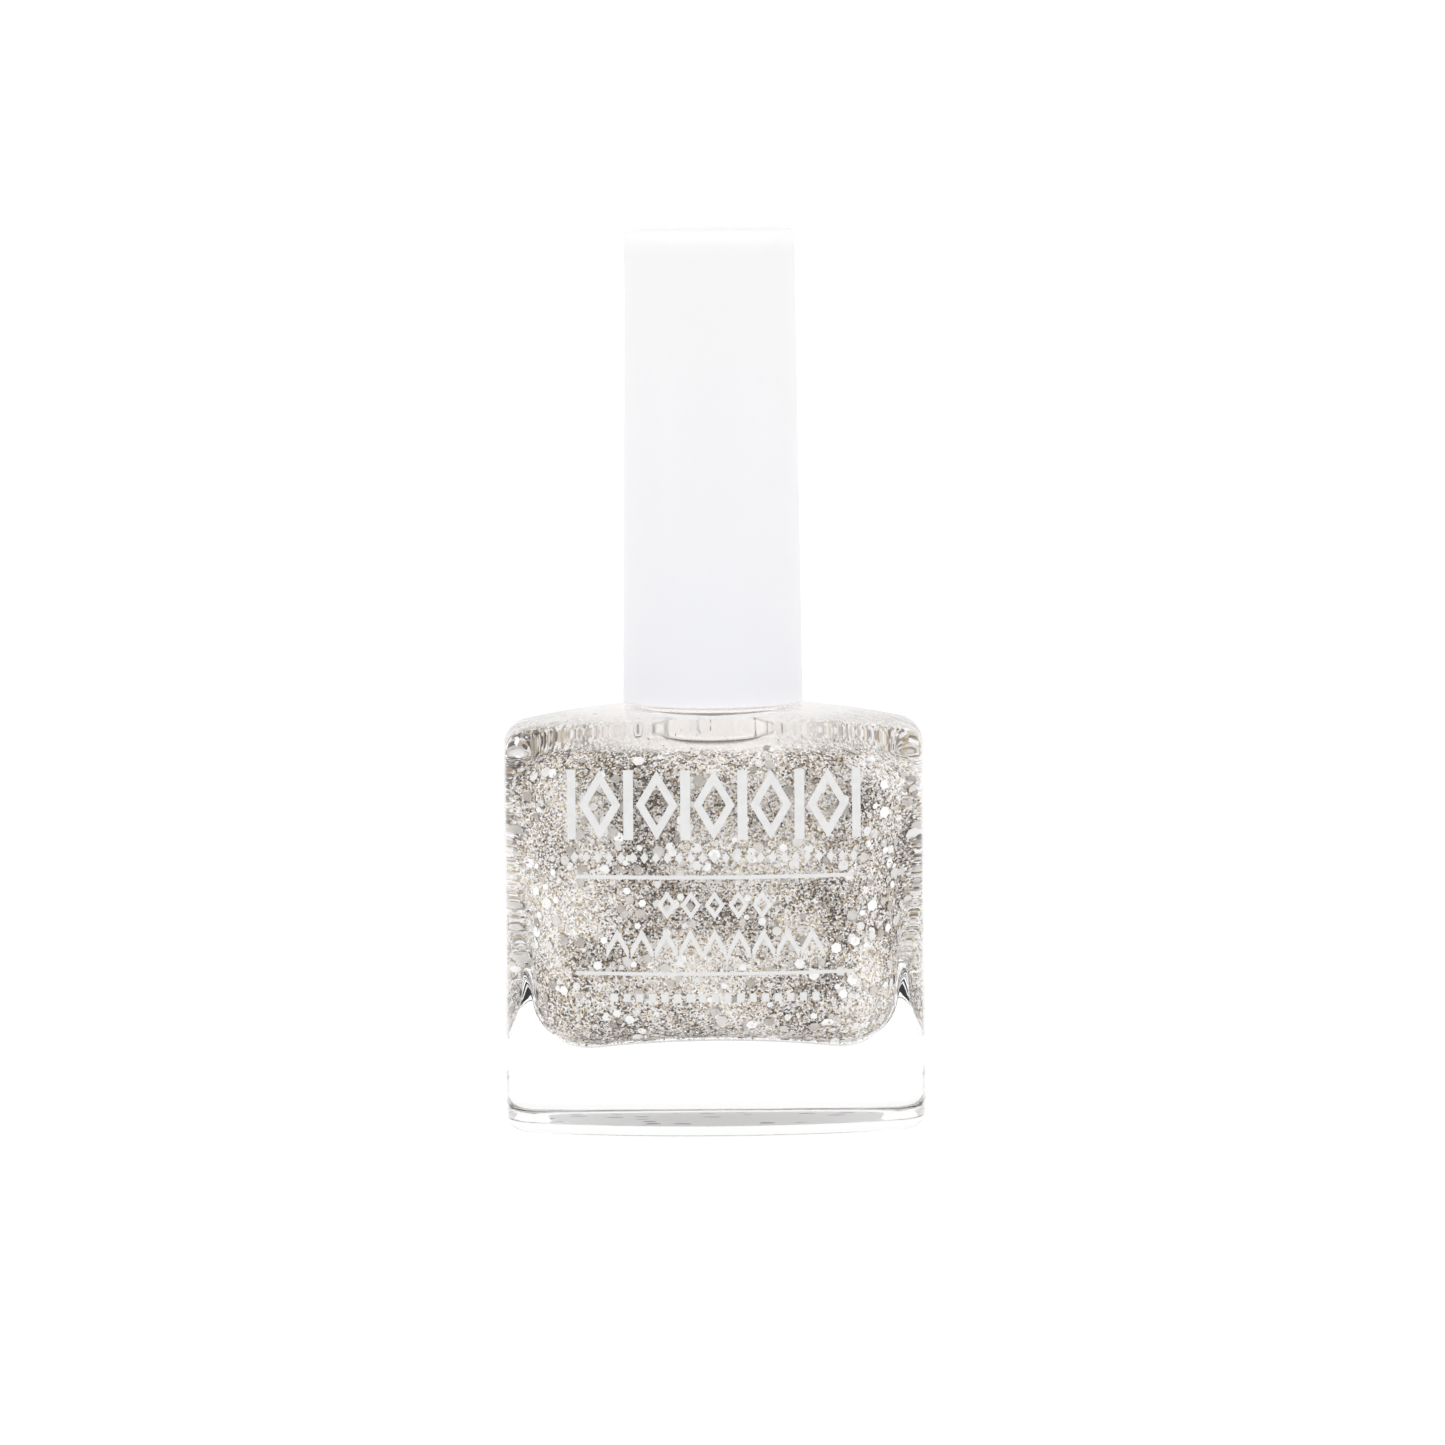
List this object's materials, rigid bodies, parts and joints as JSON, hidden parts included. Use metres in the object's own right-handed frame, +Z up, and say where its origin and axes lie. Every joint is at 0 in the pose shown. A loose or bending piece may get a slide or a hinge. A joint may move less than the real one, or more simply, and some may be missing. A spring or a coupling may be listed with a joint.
{
  "type": "nail polish bottle",
  "caption": "Clear heavy-based glass bottle of glitter nail lacquer with a tall round white screw cap that carries a brush on a rod.",
  "frame": {"origin": "centre of the base's resting plane", "axes": "+Z up along the neck and cap axis, -Y out of the printed front face, +X to the right as seen from the front"},
  "size_m": [0.036, 0.0254, 0.0762],
  "materials": {
    "clear_glass": "clear, fire-polished soda-lime glass",
    "glitter_lacquer": "clear lacquer packed with silver, grey and champagne glitter",
    "ball_steel": "polished stainless steel",
    "label_film": "matt film sticker",
    "liner_foam": "soft foamed polyethylene",
    "stem_plastic": "natural moulded plastic",
    "bristles": "fine nylon filament, wet with glitter lacquer",
    "staple_metal": "flat drawn metal",
    "inner_cap_plastic": "white moulded polypropylene",
    "overcap_plastic": "smooth satin white"
  },
  "bodies": {
    "bottle": {"glass_bottle": "clear_glass", "lacquer": "glitter_lacquer", "mixing_balls": "ball_steel", "base_label": "label_film"},
    "liner": {"sealing_liner": "liner_foam"},
    "brush": {"brush_stem": "stem_plastic", "bristle_tuft": "bristles", "anchor_staple": "staple_metal"},
    "cap": {"overcap": "overcap_plastic", "inner_cap": "inner_cap_plastic"}
  },
  "joints": [
    {"name": "brush_lift", "type": "slide", "parent": "bottle", "child": "liner", "axis": [0, 0, 1], "range_m": [0, 0.042]},
    {"name": "thread_rise", "type": "slide", "parent": "liner", "child": "brush", "axis": [0, 0, 1], "range_m": [0, 0.00318]},
    {"name": "cap_turn", "type": "hinge", "parent": "brush", "child": "cap", "pos_m": [0, 0, 0.05], "axis": [0, 0, 1], "range_deg": [0, 540]}
  ],
  "couplings": [
    {"joint": "thread_rise", "follows": "cap_turn", "m_per_rad": 0.00033688}
  ]
}
